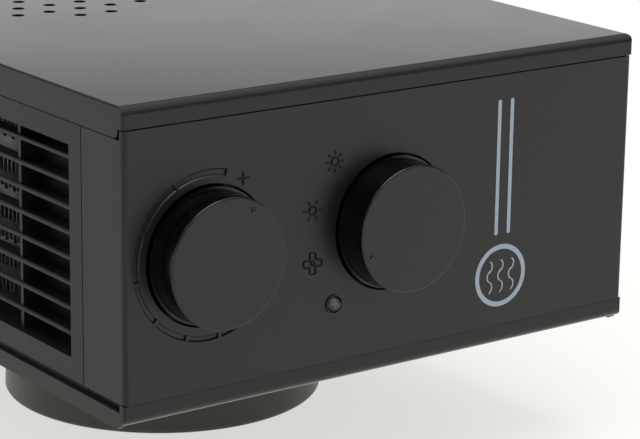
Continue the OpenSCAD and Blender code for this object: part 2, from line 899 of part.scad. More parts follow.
// One blade's section: a slice of an arc, cut to the blade ring
module blade_section() {
    arc_r = 8;
    intersection() {
        difference() {
            circle(fan_r);
            circle(fan_r - blade_depth);
        }
        translate([fan_r - blade_depth / 2, -arc_r]) difference() {
            circle(arc_r + blade_t / 2);
            circle(arc_r - blade_t / 2);
            translate([-2 * arc_r, -4 * arc_r]) square([4 * arc_r, 4 * arc_r]);
        }
    }
}

module fan_rotor() {
    discs = 4;
    step = (rotor_x1 - rotor_x0 - disc_t) / (discs - 1);
    color("#34383b") translate([0, fan_y, fan_z]) difference() {
        union() {
            from_x(rotor_x0, rotor_x1 - rotor_x0)
                for (i = [0 : fan_blades - 1])
                    rotate(i * 360 / fan_blades) blade_section();
            for (i = [0 : discs - 1]) {
                x = rotor_x0 + i * step;
                end = i == 0 || i == discs - 1;
                difference() {
                    bar_x(fan_r + 0.4, x, x + disc_t, 0, 0);
                    if (!end)
                        bar_x(fan_r - blade_depth - 1.5, x - 1, x + disc_t + 1, 0, 0);
                }
            }
            bar_x(fan_hub_r, rotor_x0, rotor_x0 + fan_hub_l, 0, 0);
            bar_x(fan_hub_r, rotor_x1 - fan_hub_l, rotor_x1, 0, 0);
        }
        bar_x(shaft_r + running, rotor_x0 - 1, rotor_x0 + fan_hub_l + 1, 0, 0);
        bar_x(shaft_r + running, rotor_x1 - fan_hub_l - 1, rotor_x1 + 1, 0, 0);
    }
}

module end_pin() {
    color(metal) bar_x(shaft_r, bearing_x - bearing_l / 2 - 1, rotor_x0 + fan_hub_l, fan_y, fan_z);
}

module end_bearing() {
    color("#9c7a4b") difference() {
        bar_x(bearing_r, bearing_x - bearing_l / 2, bearing_x + bearing_l / 2 - 1, fan_y, fan_z);
        bar_x(shaft_r + running, bearing_x - bearing_l, bearing_x + bearing_l, fan_y, fan_z);
    }
}

module bearing_ring() {
    color("#222222") difference() {
        bar_x(ring_r - running, bearing_x - bearing_l / 2, bearing_x + bearing_l / 2 - 1, fan_y, fan_z);
        bar_x(bearing_r + running, bearing_x - bearing_l, bearing_x + bearing_l, fan_y, fan_z);
    }
}

// Motor

// Lamination outline: the rotor's bore above, a window for the coil below
module core_outline() {
    difference() {
        translate([-core_half, -core_bottom]) square([2 * core_half, core_bottom + core_top]);
        circle(core_r);
        translate([core_side - core_half, core_leg - core_bottom])
            square([2 * (core_half - core_side), core_bottom - core_leg - core_r - 2.5]);
        for (s = [-1, 1])
            translate([s * bolt_y, 0]) circle(bolt_r + running);
    }
}

module motor_core() {
    color("#7c7f82") translate([0, fan_y, fan_z]) from_x(core_x0, core_l) core_outline();
}

// Winding round the core's lower leg
module motor_coil() {
    side = 3.2;
    half = core_half - core_side - 2;
    leg_top = core_leg - core_bottom;
    color(copper) translate([0, fan_y, fan_z]) difference() {
        from_x(core_x0 - side, core_l + 2 * side)
            translate([0, -core_bottom + core_leg / 2]) round_rect(2 * half, core_leg + 2 * side, 1.5);
        translate([core_x0 - 0.1, -half - 1, -core_bottom - 0.1])
            cube([core_l + 0.2, 2 * half + 2, leg_top + core_bottom + 0.2]);
    }
}

module motor_rotor() {
    color("#9a9da0") translate([0, fan_y, fan_z]) difference() {
        bar_x(rotor_r, core_x0 - 1.5, core_x1 + 1.5, 0, 0);
        bar_x(shaft_r + running, core_x0 - 3, core_x1 + 3, 0, 0);
    }
}

module motor_shaft() {
    color(metal) bar_x(shaft_r, rotor_x1 - fan_hub_l, motor_x1 + shaft_tail, fan_y, fan_z);
}

// End bracket: a bar with a bearing boss, held by both bolts
module motor_bracket(x, boss_dir) {
    boss = boss_dir * 2;
    spacer = boss_dir > 0 ? [core_x1, x + bracket_t] : [x, core_x0];
    difference() {
        union() {
            from_x(x, bracket_t) rotate(90) slot(2 * bolt_r + 6, 2 * (bolt_y + bolt_r + 3));
            bar_x(shaft_r + 3.5, x, x + bracket_t, 0, 0);
            bar_x(shaft_r + 2.5, min(x, x + boss), max(x + bracket_t, x + bracket_t + boss), 0, 0);
            for (s = [-1, 1])
                bar_x(bolt_r + 1.6, spacer[0], spacer[1], s * bolt_y, 0);
        }
        bar_x(shaft_r + running, x - 9, x + 9, 0, 0);
        for (s = [-1, 1])
            bar_x(bolt_r + running, x - 9, x + 9, s * bolt_y, 0);
    }
}

module motor_brackets() {
    color("#a9acae") translate([0, fan_y, fan_z]) {
        motor_bracket(motor_x0, -1);
        motor_bracket(motor_x1 - bracket_t, 1);
    }
}

module motor_bolts() {
    color(metal) for (s = [-1, 1]) {
        bar_x(bolt_r, duct_right + plate_t, motor_x1 + fuse, fan_y + s * bolt_y, fan_z);
        bar_x(bolt_r + 1.3, motor_x1, motor_x1 + 2, fan_y + s * bolt_y, fan_z);
    }
}

// Heating element

module heating_tubes() {
    color("#c9cbcc") for (i = [1 : tubes])
        translate([element_x0, element_y1 - element_d, element_z0 + i * layer - tube_h])
            cube([element_x1 - element_x0, element_d, tube_h]);
}

// Corner k of a folded strip of unit height, on its left or its right side
function fold(k, side) =
    let (up = k % 4 == 1 || k % 4 == 2, lean = k % 4 < 2 ? -1 : 1)
    [floor(k / 2) * fin_pitch + side * lean * fin_t / 2,
     (up ? fin_h - fin_t / 2 : fin_t / 2) + side * fin_t / 2];

// Strips folded up and down between the tubes
module heating_fins() {
    last = 2 * fins + 1;
    x0 = (element_x0 + element_x1 - fins * fin_pitch) / 2;
    color("#d8d9da") for (i = [0 : tubes])
        to_y(element_y1 - 0.5, element_d - 1) translate([x0, element_z0 + i * layer])
            polygon(concat([for (k = [0 : last]) fold(k, 1)], [for (k = [last : -1 : 0]) fold(k, -1)]));
}

module element_caps() {
    color("#3b3a37") for (x = [element_x0 - cap_l, element_x1])
        translate([x, element_y1 - element_d - 1, element_z0]) cube([cap_l, element_d + 2, element_h]);
}

// Disc thermostat on the duct's roof
module thermal_cutout() {
    flange = [10, 26, 1];
    can_r = 7.5;
    can_h = 6;
    x = (duct_left + duct_right) / 2;
    color("#c7c2b4") translate([x, element_y1 - element_d / 2, duct_roof_z + scroll_t]) {
        linear_extrude(flange[2]) rotate(90) slot(flange[0], flange[1]);
        bar_z(can_r, flange[2] - fuse, can_h);
        for (s = [-1, 1])
            translate([s * can_r * 2 / 3 - tab_t / 2, -tab_w / 2, can_h - fuse]) cube([tab_t, tab_w, 5]);
    }
}

// Terminal block on the tray's floor, its wire holes along Y
module terminal_block() {
    ways = 3;
    wire_r = 2;
    clamp_r = 1.7;
    wire_z = terminal_h * 0.4;
    color("#d9d6cb") translate([post_x - 2.2 * way_w, half_d / 2 - fit, floor_z]) difference() {
        translate([-ways * way_w / 2, 0, 0]) cube([ways * way_w, terminal_d, terminal_h]);
        for (i = [0 : ways - 1]) {
            x = (i - (ways - 1) / 2) * way_w;
            translate([x, -1, wire_z]) rotate([-90, 0, 0]) cylinder(r = wire_r, h = terminal_d + 2);
            for (y = [0.22, 0.78])
                translate([x, y * terminal_d, 0]) bar_z(clamp_r, wire_z, terminal_h + 1);
        }
    }
}

// Foot

// Half section of the foot's shell
module foot_section() {
    r_top = foot_r - foot_taper;
    z0 = foot_gap;
    polygon([
        [spigot_r + running + 0.03, foot_top_z - foot_top_t], [r_top - foot_wall, foot_top_z - foot_top_t],
        [foot_r - foot_wall, foot_plate_z + foot_wall], [foot_plate_r + fit, foot_plate_z],
        [foot_plate_r + fit, z0], [foot_r - foot_edge, z0], [foot_r, z0 + foot_edge],
        [r_top, foot_top_z - 2], [r_top - 2, foot_top_z],
        [spigot_r + running + 0.03, foot_top_z]
    ]);
    intersection() {
        translate([foot_r - foot_edge, z0 + foot_edge]) circle(foot_edge);
        translate([foot_plate_r + fit, z0]) square([foot_r, foot_edge]);
    }
    translate([r_top - 2, foot_top_z - 2]) circle(2);
}

module at_foot_bosses() {
    for (a = [45 : 90 : 315])
        rotate(a) translate([foot_boss_at, 0, 0]) children();
}

module at_swivel_screws() {
    for (a = [30 : 120 : 270])
        rotate(a) translate([spigot_r - spigot_wall / 2, 0, 0]) children();
}

module foot_shell() {
    slot_half = swivel_half + asin((stop_r + fit) / stop_at);
    color(shell_black) difference() {
        union() {
            rotate_extrude() foot_section();
            at_foot_bosses() bar_z(foot_boss_r, foot_plate_z, foot_top_z - foot_top_t + fuse);
        }
        // Curved slot for the tray's stop
        rotate(90 - slot_half) rotate_extrude(angle = 2 * slot_half)
            translate([stop_at - stop_r - fit, foot_top_z - foot_top_t - 1])
                square([2 * (stop_r + fit), foot_top_t + 2]);
        at_foot_bosses() bar_z(screw_r + running, foot_plate_z - 1, foot_plate_z + 12);
    }
}

module foot_plate() {
    color(dark) difference() {
        bar_z(foot_plate_r, pad_t, foot_plate_z);
        at_foot_bosses() bar_z(screw_r + fit, pad_t - 1, foot_plate_z + 1);
    }
}

// Non-slip disc under the foot, with clear holes round the screws
module rubber_pad() {
    color("#161616") difference() {
        bar_z(pad_r, 0, pad_t);
        at_foot_bosses() bar_z(screw_head_r + 1, -1, pad_t + 1);
    }
}

module foot_screws() {
    color(metal) at_foot_bosses() difference() {
        union() {
            bar_z(screw_r, pad_t - fuse, foot_plate_z + 10);
            bar_z(screw_head_r, pad_t - foot_head_h, pad_t);
        }
        translate([0, 0, pad_t - foot_head_h - cross_d / 3]) drive();
    }
}

module glide_ring() {
    color("#c8c8c4") ring_z(glide_r1, glide_r0, foot_top_z, z_bot);
}

module swivel_retainer() {
    color(metal) difference() {
        bar_z(retainer_r, spigot_z - retainer_t, spigot_z);
        bar_z(spigot_r - spigot_wall, spigot_z - retainer_t - 1, spigot_z + 1);
        at_swivel_screws() bar_z(screw_r + fit, spigot_z - retainer_t - 1, spigot_z + 1);
    }
}

module swivel_screws() {
    color(metal) at_swivel_screws()
        translate([0, 0, spigot_z - retainer_t]) screw(retainer_t + z_bot - spigot_z - 0.4);
}

foot_shell();
foot_plate();
rubber_pad();
foot_screws();
glide_ring();
bottom_tray();
swivel_retainer();
swivel_screws();
top_cover();
housing_screws();
control_panel();
side_panel();
outlet_grille();
intake_grille();
cord_grommet();
thermostat_knob();
thermostat_spindle();
thermostat_body();
mode_knob();
switch_spindle();
rotary_switch();
control_nuts();
indicator_lamp();
lamp_board();
duct_plate_left();
duct_plate_right();
duct_screws();
fan_scroll();
air_tongue();
fan_rotor();
end_pin();
end_bearing();
bearing_ring();
motor_core();
motor_coil();
motor_rotor();
motor_shaft();
motor_brackets();
motor_bolts();
heating_tubes();
heating_fins();
element_caps();
thermal_cutout();
terminal_block();
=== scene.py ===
"""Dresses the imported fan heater: finishes for its pieces, panel marks, studio light and the camera."""

import json
import logging
import math
from dataclasses import dataclass, field
from enum import Enum
from typing import Any

import bpy
from mathutils import Matrix, Vector


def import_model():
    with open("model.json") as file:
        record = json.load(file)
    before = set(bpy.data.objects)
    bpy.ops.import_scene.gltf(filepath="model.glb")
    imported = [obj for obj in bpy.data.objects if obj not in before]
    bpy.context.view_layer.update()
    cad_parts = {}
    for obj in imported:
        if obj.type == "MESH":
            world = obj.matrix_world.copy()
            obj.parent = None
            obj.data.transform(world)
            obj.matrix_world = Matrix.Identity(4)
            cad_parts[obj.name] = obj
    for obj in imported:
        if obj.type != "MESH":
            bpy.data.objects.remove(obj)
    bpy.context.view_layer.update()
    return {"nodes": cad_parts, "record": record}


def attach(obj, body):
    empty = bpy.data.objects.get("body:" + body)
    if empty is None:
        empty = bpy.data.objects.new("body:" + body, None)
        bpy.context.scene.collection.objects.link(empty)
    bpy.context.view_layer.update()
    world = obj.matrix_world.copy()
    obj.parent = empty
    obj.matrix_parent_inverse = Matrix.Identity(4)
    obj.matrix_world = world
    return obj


MM = 0.001
# Edges flatter than this shade as one surface on new pieces
SMOOTH_DEG = 40
# Points nearer than this, in metres, count as one place
TINY = 1e-6
log = logging.getLogger("fan_heater")


class Slot(Enum):
    """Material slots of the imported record."""

    SHELL = "shell_black"
    PANEL = "panel_black"
    KNOB = "knob_black"
    GRILLE = "grille_black"
    INNER = "inner_plastic"
    RUBBER = "rubber"
    GLIDE = "glide_plastic"
    SCREW = "screw_steel"
    BRIGHT = "bright_steel"
    THERMOSTAT = "thermostat_metal"
    LAMP = "lamp_lens"
    BOARD = "board_green"
    BRONZE = "bronze"
    IRON = "core_iron"
    COPPER = "copper_wire"
    ALUMINIUM = "bare_aluminium"
    CERAMIC = "pale_ceramic"


class Body(Enum):
    """CAD bodies that new pieces ride on."""

    HEATER = "heater"


def linear(code: str) -> tuple[float, float, float, float]:
    """Turns an sRGB hex colour to linear light.

    Args:
        code: colour such as "#3c3c3a".

    Returns:
        Red, green, blue and an alpha of one.
    """
    parts = [int(code[i : i + 2], 16) / 255 for i in (1, 3, 5)]
    light = [c / 12.92 if c <= 0.04045 else ((c + 0.055) / 1.055) ** 2.4 for c in parts]
    return (light[0], light[1], light[2], 1.0)


def per_metre(size_mm: float) -> float:
    """Scale of a texture whose features are size_mm wide."""
    return 1 / (size_mm * MM)


def add_node(
    tree: bpy.types.NodeTree,
    kind: str,
    links: dict[str | int, bpy.types.NodeSocket] | None = None,
    values: dict[str | int, Any] | None = None,
    **settings: Any,
) -> bpy.types.Node:
    """Adds one node with its settings and links.

    Args:
        tree: node tree that takes the node.
        kind: Blender's name of the node type.
        links: input sockets with the output sockets that feed them.
        values: input sockets with their constants.
        settings: attributes of the node itself.

    Returns:
        The new node.
    """
    node = tree.nodes.new(kind)
    for name, value in settings.items():
        setattr(node, name, value)
    for socket, value in (values or {}).items():
        node.inputs[socket].default_value = value
    for socket, source in (links or {}).items():
        tree.links.new(source, node.inputs[socket])
    return node


def new_material(name: str) -> tuple[bpy.types.Material, bpy.types.NodeTree]:
    """Makes an empty node material.

    Args:
        name: name of the real material.

    Returns:
        The material and its node tree.
    """
    material = bpy.data.materials.new(name)
    material.use_nodes = True
    material.node_tree.nodes.clear()
    return material, material.node_tree


def close_material(tree: bpy.types.NodeTree, shader: bpy.types.Node) -> None:
    """Joins a shader to the material's output."""
    add_node(tree, "ShaderNodeOutputMaterial", {"Surface": shader.outputs[0]})


@dataclass(frozen=True)
class MouldedPlastic:
    """Injection-moulded plastic from a spark-eroded mould: an even fine grain that breaks up the gloss.

    Broad clouds in the roughness are the handling marks that show on dark plastic. The real grain is finer
    than a pixel, so it is drawn coarser to show.
    """

    name: str
    colour: str
    worn: str
    roughness: float
    grain_mm: float = 0.55
    relief_mm: float = 0.012
    cloud_mm: float = 38.0
    cloud_depth: float = 0.02
    cloud_range: tuple[float, float] = (0.3, 0.7)
    grain_strength: float = 0.6
    ior: float = 1.5

    def material(self) -> bpy.types.Material:
        """Builds the node material.

        Returns:
            The material.
        """
        material, tree = new_material(self.name)
        place = add_node(tree, "ShaderNodeTexCoord").outputs["Object"]
        cloud = add_node(
            tree, "ShaderNodeTexNoise", {"Vector": place},
            {"Scale": per_metre(self.cloud_mm), "Detail": 4.0, "Roughness": 0.6},
        )
        grain = add_node(
            tree, "ShaderNodeTexNoise", {"Vector": place},
            {"Scale": per_metre(self.grain_mm), "Detail": 2.0, "Roughness": 0.55},
        )
        colour = add_node(
            tree, "ShaderNodeMix", {0: cloud.outputs["Fac"]},
            {6: linear(self.colour), 7: linear(self.worn)}, data_type="RGBA",
        )
        rough = add_node(
            tree, "ShaderNodeMapRange", {"Value": cloud.outputs["Fac"]},
            {"From Min": self.cloud_range[0], "From Max": self.cloud_range[1],
             "To Min": self.roughness - self.cloud_depth, "To Max": self.roughness + self.cloud_depth},
        )
        bump = add_node(
            tree, "ShaderNodeBump", {"Height": grain.outputs["Fac"]},
            {"Strength": self.grain_strength, "Distance": self.relief_mm * MM},
        )
        shader = add_node(
            tree, "ShaderNodeBsdfPrincipled",
            {"Base Color": colour.outputs[2], "Roughness": rough.outputs["Result"],
             "Normal": bump.outputs[0]},
            {"IOR": self.ior},
        )
        close_material(tree, shader)
        return material


@dataclass(frozen=True)
class PlatedMetal:
    """Plated or bare metal: rolled streaks along one axis in the gloss, a faint dull cloud in the colour.

    Real streaks are finer than a pixel, so they are drawn coarser to show.
    """

    name: str
    colour: str
    dull: str
    roughness: float
    streak_mm: tuple[float, float, float] = (12.0, 0.5, 0.5)
    cloud_mm: float = 9.0
    streak_range: tuple[float, float] = (0.3, 0.7)
    streak_depth: tuple[float, float] = (-0.08, 0.1)
    streak_strength: float = 0.3
    relief_mm: float = 0.01

    def material(self) -> bpy.types.Material:
        """Builds the node material.

        Returns:
            The material.
        """
        material, tree = new_material(self.name)
        place = add_node(tree, "ShaderNodeTexCoord").outputs["Object"]
        stretched = add_node(
            tree, "ShaderNodeMapping", {"Vector": place},
            {"Scale": tuple(per_metre(size) for size in self.streak_mm)},
        )
        streak = add_node(
            tree, "ShaderNodeTexNoise", {"Vector": stretched.outputs[0]},
            {"Scale": 1.0, "Detail": 3.0, "Roughness": 0.6},
        )
        cloud = add_node(
            tree, "ShaderNodeTexNoise", {"Vector": place},
            {"Scale": per_metre(self.cloud_mm), "Detail": 4.0},
        )
        colour = add_node(
            tree, "ShaderNodeMix", {0: cloud.outputs["Fac"]},
            {6: linear(self.colour), 7: linear(self.dull)}, data_type="RGBA",
        )
        rough = add_node(
            tree, "ShaderNodeMapRange", {"Value": streak.outputs["Fac"]},
            {"From Min": self.streak_range[0], "From Max": self.streak_range[1],
             "To Min": self.roughness + self.streak_depth[0],
             "To Max": self.roughness + self.streak_depth[1]},
        )
        bump = add_node(
            tree, "ShaderNodeBump", {"Height": streak.outputs["Fac"]},
            {"Strength": self.streak_strength, "Distance": self.relief_mm * MM},
        )
        shader = add_node(
            tree, "ShaderNodeBsdfPrincipled",
            {"Base Color": colour.outputs[2], "Roughness": rough.outputs["Result"],
             "Normal": bump.outputs[0]},
            {"Metallic": 1.0},
        )
        close_material(tree, shader)
        return material


@dataclass(frozen=True)
class BandedMetal:
    """Metal in fine parallel layers, such as stacked sheets or wound wire, with dark joints between them.

    Real sheets and wire are finer than a pixel, so they are drawn coarser to show.
    """

    name: str
    colour: str
    joint: str
    roughness: float
    pitch_mm: float
    metallic: float
    joint_strength: float = 0.7
    joint_mm: float = 0.1

    def material(self) -> bpy.types.Material:
        """Builds the node material.

        Returns:
            The material.
        """
        material, tree = new_material(self.name)
        place = add_node(tree, "ShaderNodeTexCoord").outputs["Object"]
        # One wave is 20 texture units over 2 pi, hence the factor
        bands = add_node(
            tree, "ShaderNodeTexWave", {"Vector": place},
            {"Scale": per_metre(self.pitch_mm) * math.pi / 10, "Distortion": 0.4, "Detail": 1.0},
            bands_direction="X",
        )
        colour = add_node(
            tree, "ShaderNodeMix", {0: bands.outputs["Fac"]},
            {6: linear(self.joint), 7: linear(self.colour)}, data_type="RGBA",
        )
        bump = add_node(
            tree, "ShaderNodeBump", {"Height": bands.outputs["Fac"]},
            {"Strength": self.joint_strength, "Distance": self.joint_mm * MM},
        )
        shader = add_node(
            tree, "ShaderNodeBsdfPrincipled",
            {"Base Color": colour.outputs[2], "Normal": bump.outputs[0]},
            {"Metallic": self.metallic, "Roughness": self.roughness},
        )
        close_material(tree, shader)
        return material


@dataclass(frozen=True)
class DiffuserLens:
    """Clear polystyrene lens over an unlit lamp: a glossy skin, a painted violet-grey highlight in the middle
    broken by faint patches, and painted shade that darkens the rim.
    """

    name: str
    # colour is the painted highlight in the middle, and the colour after it is the painted shade at the rim
    colour: str
    painted_rim_shade: str
    highlight_centre_mm: tuple[float, float] = (-21.8, 64.5)
    radius_mm: float = 2.4
    patch_mm: float = 1.2
    cloud_range: tuple[float, float] = (0.6, 1.4)
    roughness: float = 0.3
    ior: float = 1.36

    def material(self) -> bpy.types.Material:
        """Builds the node material.

        Returns:
            The material.
        """
        material, tree = new_material(self.name)
        place = add_node(tree, "ShaderNodeTexCoord").outputs["Object"]
        # Distance from the middle of the painted highlight, on an axis that lies along X
        scale = per_metre(self.radius_mm)
        axis = add_node(
            tree, "ShaderNodeMapping", {"Vector": place},
            {"Location": (0.0, *(-c * MM * scale for c in self.highlight_centre_mm)), "Scale": (0.0, scale, scale)},
        )
        painted_highlight = add_node(
            tree, "ShaderNodeTexGradient", {"Vector": axis.outputs[0]}, gradient_type="SPHERICAL",
        )
        patch = add_node(
            tree, "ShaderNodeTexNoise", {"Vector": place},
            {"Scale": per_metre(self.patch_mm), "Detail": 1.0},
        )
        highlight_and_cloud = add_node(
            tree, "ShaderNodeMath", {0: painted_highlight.outputs["Fac"], 1: patch.outputs["Fac"]}, operation="ADD",
        )
        share = add_node(
            tree, "ShaderNodeMapRange", {"Value": highlight_and_cloud.outputs[0]},
            {"From Min": self.cloud_range[0], "From Max": self.cloud_range[1]},
        )
        # Painted highlight and painted shade: pale in the middle, dark towards the rim
        colour = add_node(
            tree, "ShaderNodeMix", {0: share.outputs["Result"]},
            {6: linear(self.painted_rim_shade), 7: linear(self.colour)}, data_type="RGBA",
        )
        shader = add_node(
            tree, "ShaderNodeBsdfPrincipled", {"Base Color": colour.outputs[2]},
            {"Roughness": self.roughness, "IOR": self.ior},
        )
        close_material(tree, shader)
        return material


# Finishes of the CAD nodes, by slot
FINISHES: dict[Slot, Any] = {
    # ABS from a near-polished mould: a soft even sheen that mirrors the room
    Slot.SHELL: MouldedPlastic("satin_abs_black", "#1a1a19", "#1e1e1c", 0.12, relief_mm=0.003, ior=1.38),
    # ABS from a finely eroded mould: greyer and duller, so the knobs throw wide dark haloes on it
    Slot.PANEL: MouldedPlastic("grained_abs_black", "#040404", "#070706", 0.37),
    # ABS, smoother than the panel: level faces as pale as the panel, black walls
    Slot.KNOB: MouldedPlastic("satin_abs_knob", "#020202", "#040404", 0.14, relief_mm=0.006),
    # Heat-proof PBT: matt, so the slats read as dark steps
    Slot.GRILLE: MouldedPlastic("matt_pbt_black", "#0b0b0b", "#101010", 0.45),
    # Nylon with glass fibre: dry and slightly mottled
    Slot.INNER: MouldedPlastic("glass_filled_nylon", "#181818", "#222221", 0.55, grain_mm=0.9),
    # Nitrile rubber: hardly any gloss
    Slot.RUBBER: MouldedPlastic("nitrile_rubber", "#121212", "#1b1b1a", 0.72, grain_mm=0.8, ior=1.52),
    # Acetal: waxy off-white
    Slot.GLIDE: MouldedPlastic("white_acetal", "#c4c3bc", "#b9b8b0", 0.3, ior=1.48),
    # Zinc plating: bright grey with short streaks
    Slot.SCREW: PlatedMetal("zinc_plated_steel", "#b4b6b6", "#9a9c9b", 0.34, (2.0, 0.6, 0.6)),
    # Ground steel: fine streaks along the shaft
    Slot.BRIGHT: PlatedMetal("ground_steel", "#bcbdbe", "#aaabac", 0.26, (9.0, 0.4, 0.4)),
    # Tinned sheet: dull grey, rolled
    Slot.THERMOSTAT: PlatedMetal("tinned_sheet_steel", "#a3a5a4", "#8b8d8c", 0.38, (6.0, 6.0, 0.6)),
    # Polystyrene: clear skin over a dim lamp, with a painted highlight in the middle and painted shade at the
    # rim
    Slot.LAMP: DiffuserLens("clear_polystyrene", "#5c5a65", "#0c0b0e"),
    # Solder mask: glossy green, thin over the copper
    Slot.BOARD: MouldedPlastic("solder_masked_laminate", "#1f4a2c", "#2a5a38", 0.3, cloud_mm=4.0),
    # Sintered bronze: brown and grainy
    Slot.BRONZE: PlatedMetal("sintered_bronze", "#a58350", "#8a6b3f", 0.48, (0.7, 0.7, 0.7), 3.0),
    # Stacked iron sheets: fine dark joints
    Slot.IRON: BandedMetal("laminated_core_iron", "#7e8184", "#4a4c4f", 0.45, 0.9, 1.0),
    # Lacquered wire: warm, in close turns
    Slot.COPPER: BandedMetal("enamelled_copper_wire", "#a8622c", "#5b2f14", 0.3, 0.9, 0.8),
    # Bare aluminium: pale, with long rolled streaks
    Slot.ALUMINIUM: PlatedMetal("bare_aluminium", "#cfd0d2", "#b9babc", 0.36, (15.0, 0.6, 0.6)),
    # Urea resin: cream, faintly clouded
    Slot.CERAMIC: MouldedPlastic("pale_urea_resin", "#d2cdbd", "#c6c0ae", 0.42, cloud_mm=14.0),
}

# Foot: the shell's plastic, duller, with painted light: its colour is made warmer and paler to stand in for
# the glow of the white floor below it
FOOT_PAINTED_LIT = MouldedPlastic("satin_abs_foot_painted_lit", "#333325", "#373729", 0.42, relief_mm=0.003)
# Panel symbols: painted shade, a dark dead-matt finish that stands in for the shading of their moulded
# strokes, so darker than the sheen of the plastic round it
MARK_PAINTED_SHADE = MouldedPlastic("marks_painted_shade", "#0e0e0d", "#131312", 0.7, relief_mm=0.004, ior=1.3)
# Blue-grey screen print: matt, slightly uneven where the ink lies on the grain
PRINT_GREY = MouldedPlastic("blue_grey_screen_print", "#8794a2", "#93a0ad", 0.6, relief_mm=0.01, cloud_mm=5.0)


def clear_selection() -> None:
    """Leaves edit mode and deselects everything."""
    if bpy.context.object and bpy.context.object.mode != "OBJECT":
        bpy.ops.object.mode_set(mode="OBJECT")
    bpy.ops.object.select_all(action="DESELECT")


def activate(obj: bpy.types.Object) -> None:
    """Makes one object the only selected and the active one.

    Args:
        obj: that object.
    """
    clear_selection()
    obj.select_set(True)
    bpy.context.view_layer.objects.active = obj


def duplicate(obj: bpy.types.Object) -> bpy.types.Object:
    """Copies an object with a mesh of its own.

    Args:
        obj: object to copy.

    Returns:
        The copy.
    """
    copy = obj.copy()
    copy.data = obj.data.copy()
    bpy.context.scene.collection.objects.link(copy)
    return copy


def face_up(obj: bpy.types.Object) -> None:
    """Turns the downward faces of a flat mesh up.

    Args:
        obj: flat mesh in the XY plane.
    """
    activate(obj)
    bpy.ops.object.mode_set(mode="EDIT")
    bpy.ops.mesh.select_mode(type="FACE")
    bpy.ops.mesh.select_all(action="DESELECT")
    bpy.ops.object.mode_set(mode="OBJECT")
    for face in obj.data.polygons:
        face.select = face.normal.z < 0
    bpy.ops.object.mode_set(mode="EDIT")
    bpy.ops.mesh.flip_normals()
    bpy.ops.object.mode_set(mode="OBJECT")


def hollow(obj: bpy.types.Object, width: float) -> None:
    """Leaves only a rim of a flat face.

    Args:
        obj: mesh of one flat face.
        width: width of the rim in metres.
    """
    activate(obj)
    bpy.ops.object.mode_set(mode="EDIT")
    bpy.ops.mesh.select_mode(type="FACE")
    bpy.ops.mesh.select_all(action="SELECT")
    bpy.ops.mesh.inset(thickness=width)
    bpy.ops.mesh.delete(type="FACE")
    bpy.ops.object.mode_set(mode="OBJECT")


def solidify(obj: bpy.types.Object, thickness: float) -> None:
    """Gives a flat outline its thickness, upwards.

    Args:
        obj: flat mesh in the XY plane.
        thickness: height in metres.
    """
    face_up(obj)
    modifier = obj.modifiers.new("relief", "SOLIDIFY")
    modifier.thickness = thickness
    modifier.offset = 1.0
    bpy.ops.object.modifier_apply(modifier=modifier.name)


def join(parts: list[bpy.types.Object], name: str) -> bpy.types.Object:
    """Joins meshes into one with a given name.

    Args:
        parts: objects to join, places included.
        name: name of the joined piece.

    Returns:
        The joined object.
    """
    for part in parts:
        activate(part)
        bpy.ops.object.transform_apply(location=True, rotation=True, scale=True)
    clear_selection()
    for part in parts:
        part.select_set(True)
    bpy.context.view_layer.objects.active = parts[0]
    if len(parts) > 1:
        bpy.ops.object.join()
    made = bpy.context.view_layer.objects.active
    made.name = made.data.name = name
    return made


def turn(angle_deg: float, shift: float) -> Matrix:
    """Flat placement in a mark's own plane.

    Args:
        angle_deg: turn about the mark's middle, counterclockwise.
        shift: distance from the middle in millimetres, to the right before the turn.

    Returns:
        The matrix.
    """
    return Matrix.Rotation(math.radians(angle_deg), 4, "Z") @ Matrix.Translation((shift * MM, 0, 0))


# A panel piece is drawn in the XY plane and stands out along Z: right is +Y of the heater, up is +Z
PANEL_TURN = Matrix(((0, 0, 1, 0), (1, 0, 0, 0), (0, 1, 0, 0), (0, 0, 0, 1)))


def set_on_panel(obj: bpy.types.Object, face: Vector) -> None:
    """Moves a flat piece to its place on a face that looks along +X, with the place in its mesh.

    Args:
        obj: piece drawn flat at the origin.
        face: point of the face, in metres.
    """
    obj.matrix_world = Matrix.Translation(face) @ PANEL_TURN @ obj.matrix_world
    activate(obj)
    bpy.ops.object.transform_apply(location=True, rotation=True, scale=True)
    bpy.ops.object.mode_set(mode="EDIT")
    bpy.ops.mesh.select_all(action="SELECT")
    bpy.ops.mesh.normals_make_consistent(inside=False)
    bpy.ops.object.mode_set(mode="OBJECT")


def dress(obj: bpy.types.Object, material: bpy.types.Material, body: Body) -> None:
    """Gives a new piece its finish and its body.

    Args:
        obj: finished mesh.
        material: its finish.
        body: CAD body that it rides on.
    """
    obj.data.materials.clear()
    obj.data.materials.append(material)
    activate(obj)
    bpy.ops.object.shade_smooth_by_angle(angle=math.radians(SMOOTH_DEG))
    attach(obj, body.value)
    log.info("piece %s rides on %s", obj.name, body.value)


